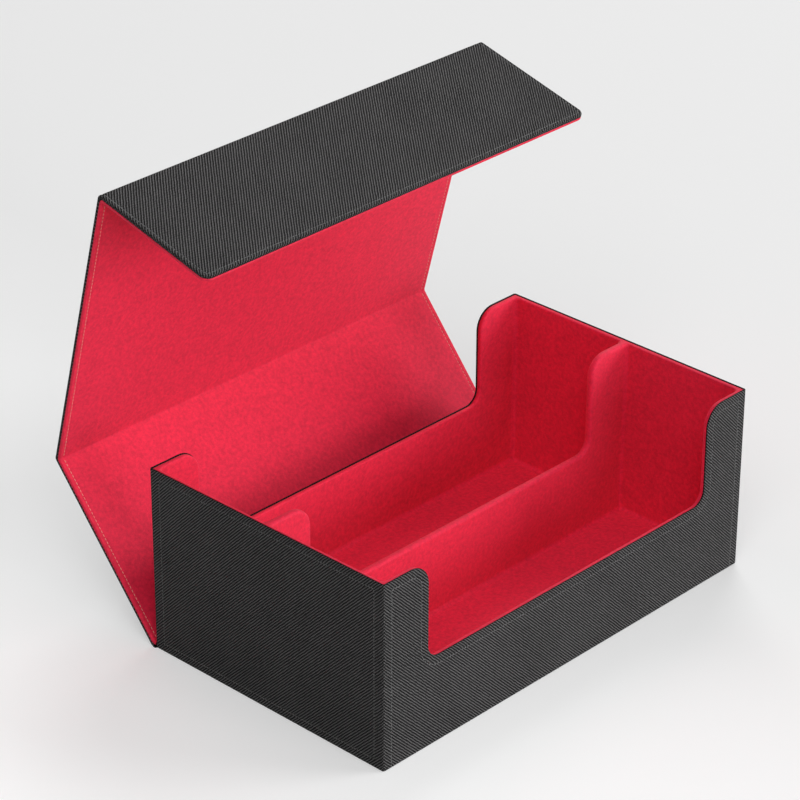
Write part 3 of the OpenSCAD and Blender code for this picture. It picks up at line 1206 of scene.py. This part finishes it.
@once
def leather_material():
    """Charcoal leather pressed with fine diagonal ribs over a soft grain, painted darker at its rims:
    part dark cut edge, part painted shade.
    """
    f = finishes()
    p = Painter("leather_material")
    cut = p.node("ShaderNodeUVMap", uv_map=CUT_UV).outputs["UV"]
    scale = 2 * math.pi / (10 * f.rib_pitch)
    ribs = p.node("ShaderNodeTexWave", {"Vector": cut},
                  {"Scale": scale, "Distortion": 1.1, "Detail": 1.0,
                   "Detail Scale": 0.9, "Detail Roughness": 0.5},
                  wave_type="BANDS", bands_direction="DIAGONAL").outputs["Fac"]
    grain = p.noise(LEATHER_GRAIN, 3, 0.6)
    cloudy = p.noise(LEATHER_CLOUDS, 2, 0.5)
    beads = p.noise(LEATHER_BEADS, 2, 0.6)
    turned = p.node("ShaderNodeMapping", {"Vector": cut}, {"Scale": (1, -1, 1)}).outputs["Vector"]
    cross = p.node("ShaderNodeTexWave", {"Vector": turned}, {"Scale": scale, "Distortion": 1.0},
                   wave_type="BANDS", bands_direction="DIAGONAL").outputs["Fac"]
    height = p.calc("MULTIPLY_ADD", grain, 0.3, p.calc("MULTIPLY_ADD", cross, 0.25, ribs))
    tone = p.vary(ribs, beads, 0.9)
    tone = p.vary(tone, grain, 0.4)
    tone = p.vary(tone, cloudy, 0.25)
    tone = p.vary(tone, cross, 0.35)
    # Rims painted darker: part the leather's dark cut edge, part painted shade.
    rim = p.node("ShaderNodeAttribute", attribute_name=RIM_EDGE_AND_SHADE).outputs["Fac"]
    tone = p.calc("MULTIPLY_ADD", rim, -0.7, tone)
    base = p.ramp(tone, LEATHER_SPAN, f.leather_groove, f.leather_ridge)
    rough = p.calc("MULTIPLY_ADD", grain, 0.18, 0.46)
    p.shade(Base_Color=base, Roughness=rough, Specular_IOR_Level=0.2,
            Normal=p.bump(height, f.rib_depth))
    return p.material


@once
def felt_material():
    """Short brushed red felt: mottled nap, fine fibres and a soft sheen."""
    f = finishes()
    p = Painter("felt_material")
    mottle = p.noise(FELT_MOTTLE, 3, 0.6)
    patches = p.noise(FELT_PATCHES, 2, 0.5)
    fibres = p.noise(FELT_FIBRES, 2, 0.7)
    tone = p.calc("MULTIPLY_ADD", patches, 0.2, p.calc("MULTIPLY", mottle, 0.8))
    tone = p.vary(tone, fibres, 0.35)
    base = p.ramp(tone, FELT_SPAN, f.felt_dark, f.felt_light)
    height = p.calc("MULTIPLY_ADD", mottle, 0.6, fibres)
    p.shade(Base_Color=base, Roughness=0.75, Specular_IOR_Level=0.42, Sheen_Weight=0.12,
            Sheen_Roughness=0.5, Sheen_Tint=(1.0, 0.7, 0.7, 1),
            Normal=p.bump(height, FELT_NAP, 0.5))
    return p.material


@once
def thread_material(name, shade):
    """Spun thread with a fine twist."""
    p = Painter(name)
    twist = p.noise(THREAD_TWIST, 2, 0.6)
    base = p.ramp(twist, EVEN_SPAN, [0.6 * c for c in shade], shade)
    p.shade(Base_Color=base, Roughness=0.7, Specular_IOR_Level=0.3,
            Normal=p.bump(twist, THREAD_PLY, 0.6))
    return p.material


@once
def board_material():
    """Pressed greyboard with flecks of fibre."""
    shade = finishes().board
    p = Painter("board_material")
    flecks = p.noise(BOARD_FLECKS, 4, 0.65)
    base = p.ramp(flecks, EVEN_SPAN, [0.7 * c for c in shade], shade)
    p.shade(Base_Color=base, Roughness=0.9, Normal=p.bump(flecks, BOARD_GRAIN, 0.5))
    return p.material


@once
def steel_material():
    """Nickel plating with fine turning marks."""
    p = Painter("steel_material")
    marks = p.noise(STEEL_MARKS, 2, 0.5)
    rough = p.calc("MULTIPLY_ADD", marks, 0.2, 0.2)
    p.shade(Base_Color=(*finishes().steel, 1), Metallic=1.0, Roughness=rough)
    return p.material


class CARDBOX_OT_boards(bpy.types.Operator):
    """Gives the greyboards and the magnets inside the covers their finish"""

    bl_idname = "cardbox.boards"
    bl_label = "Boards and magnets"

    def execute(self, context):
        for name, node in frame["nodes"].items():
            if name.endswith("_board"):
                finish = board_material()
            elif name.endswith("_magnets"):
                finish = steel_material()
            else:
                continue
            node.data.materials.clear()
            node.data.materials.append(finish)
        return {"FINISHED"}


# ------------------------------------------------------------------------ stage


FLOOR_REACH = 15
GLOW_FROM, GLOW_TO = -0.3, 0.15  # along X, in metres
LIGHT_DISTANCE = 6
SENSOR_WIDTH = 36
LIGHTS = (
    # name, azimuth and elevation in degrees, size in metres
    ("front", 0, 10, 3.7),
    ("front_right", 48, 22, 3.7),
    ("front_left", -52, 48, 3.7),
    ("rear_right", 130, 40, 3.7),
    ("above", 0, 85, 5.0),
)


def direction(azimuth, elevation):
    """Direction out from the box at an azimuth, 0 in front of it, and an elevation in degrees."""
    azimuth, elevation = math.radians(azimuth), math.radians(elevation)
    return Vector((math.sin(azimuth) * math.cos(elevation),
                   -math.cos(azimuth) * math.cos(elevation), math.sin(elevation)))


class CARDBOX_OT_stage(bpy.types.Operator):
    """Sets the pale floor, the soft lights and the camera"""

    bl_idname = "cardbox.stage"
    bl_label = "Stage"

    def execute(self, context):
        look = context.scene.card_box_studio
        self.floor(look)
        self.sky(context.scene, look)
        for name, azimuth, elevation, size in LIGHTS:
            self.light(name, azimuth, elevation, size, getattr(look, name))
        self.camera(context.scene, look)
        context.scene.view_settings.view_transform = "Standard"
        return {"FINISHED"}

    def floor(self, look):
        r = FLOOR_REACH
        mesh = bpy.data.meshes.new("floor")
        mesh.from_pydata([(-r, -r, 0), (r, -r, 0), (r, r, 0), (-r, r, 0)], [], [(0, 1, 2, 3)])
        floor = add_object("floor", mesh)
        p = Painter("pale_floor")
        # Painted light: a glow that only the camera sees, falling from the left to the right along X,
        # lifts the box's shadow on the floor.
        across = p.node("ShaderNodeSeparateXYZ", {"Vector": p.body}).outputs["X"]
        glow = p.node("ShaderNodeMapRange", {"Value": across},
                      {"From Min": GLOW_FROM, "From Max": GLOW_TO,
                       "To Min": look.glow, "To Max": look.far_glow})
        seen = p.node("ShaderNodeLightPath").outputs["Is Camera Ray"]
        p.shade(Base_Color=(*look.floor, 1), Roughness=0.95, Specular_IOR_Level=0.1,
                Emission_Color=(1, 1, 1, 1),
                Emission_Strength=p.calc("MULTIPLY", seen, glow.outputs["Result"]))
        mesh.materials.append(p.material)

    def sky(self, scene, look):
        world = bpy.data.worlds.new("studio")
        world.use_nodes = True
        w = Wiring(world.node_tree)
        seen = w.node("ShaderNodeLightPath").outputs["Is Camera Ray"]
        strength = w.node("ShaderNodeMapRange", {"Value": seen},
                          {"To Min": look.sky, "To Max": look.backdrop}).outputs["Result"]
        back = w.nodes["Background"]
        back.inputs["Color"].default_value = (1, 1, 1, 1)
        w.links.new(strength, back.inputs["Strength"])
        scene.world = world

    def light(self, name, azimuth, elevation, size, power):
        lamp = bpy.data.lights.new(name, "AREA")
        lamp.shape = "DISK"
        lamp.size = size
        lamp.energy = power
        made = add_object(name, lamp)
        away = direction(azimuth, elevation)
        made.location = LIGHT_DISTANCE * away
        made.rotation_mode = "QUATERNION"
        made.rotation_quaternion = (-away).to_track_quat("-Z", "Y")

    def camera(self, scene, look):
        data = bpy.data.cameras.new("camera")
        data.lens = look.lens
        data.sensor_width = SENSOR_WIDTH
        camera = add_object("camera", data)
        camera.location = look.place
        camera.rotation_mode = "QUATERNION"
        aim = (-direction(look.azimuth, look.elevation)).to_track_quat("-Z", "Y")
        camera.rotation_quaternion = aim @ Quaternion((0, 0, 1), math.radians(look.roll))
        scene.camera = camera


# ------------------------------------------------------------- panel and running


OPERATORS = (
    CARDBOX_OT_stage,
    CARDBOX_OT_tray_leather,
    CARDBOX_OT_tray_lining,
    CARDBOX_OT_divider_lining,
    CARDBOX_OT_lid_panels,
    CARDBOX_OT_lid_folds,
    CARDBOX_OT_stitching,
    CARDBOX_OT_boards,
)


class CARDBOX_PT_sidebar(bpy.types.Panel):
    """Lists the pieces of the card box and their settings"""

    bl_idname = "CARDBOX_PT_sidebar"
    bl_label = "Card Deck Box"
    bl_space_type = "VIEW_3D"
    bl_region_type = "UI"
    bl_category = "Card Box"

    def draw(self, context):
        for operator in OPERATORS:
            self.layout.operator(operator.bl_idname)
        for key, group in SETTINGS.items():
            box = self.layout.box()
            box.label(text=group.__doc__)
            for name in group.__annotations__:
                box.prop(getattr(context.scene, key), name)


CLASSES = (*SETTINGS.values(), *OPERATORS, CARDBOX_PT_sidebar)


def register():
    for cls in CLASSES:
        bpy.utils.register_class(cls)
    for key, group in SETTINGS.items():
        setattr(bpy.types.Scene, key, bpy.props.PointerProperty(type=group))


def unregister():
    for key in SETTINGS:
        delattr(bpy.types.Scene, key)
    for cls in reversed(CLASSES):
        bpy.utils.unregister_class(cls)


def main():
    """Makes the whole box."""
    register()
    for operator in OPERATORS:
        group, name = operator.bl_idname.split(".")
        getattr(getattr(bpy.ops, group), name)()


if __name__ == "__main__":
    main()
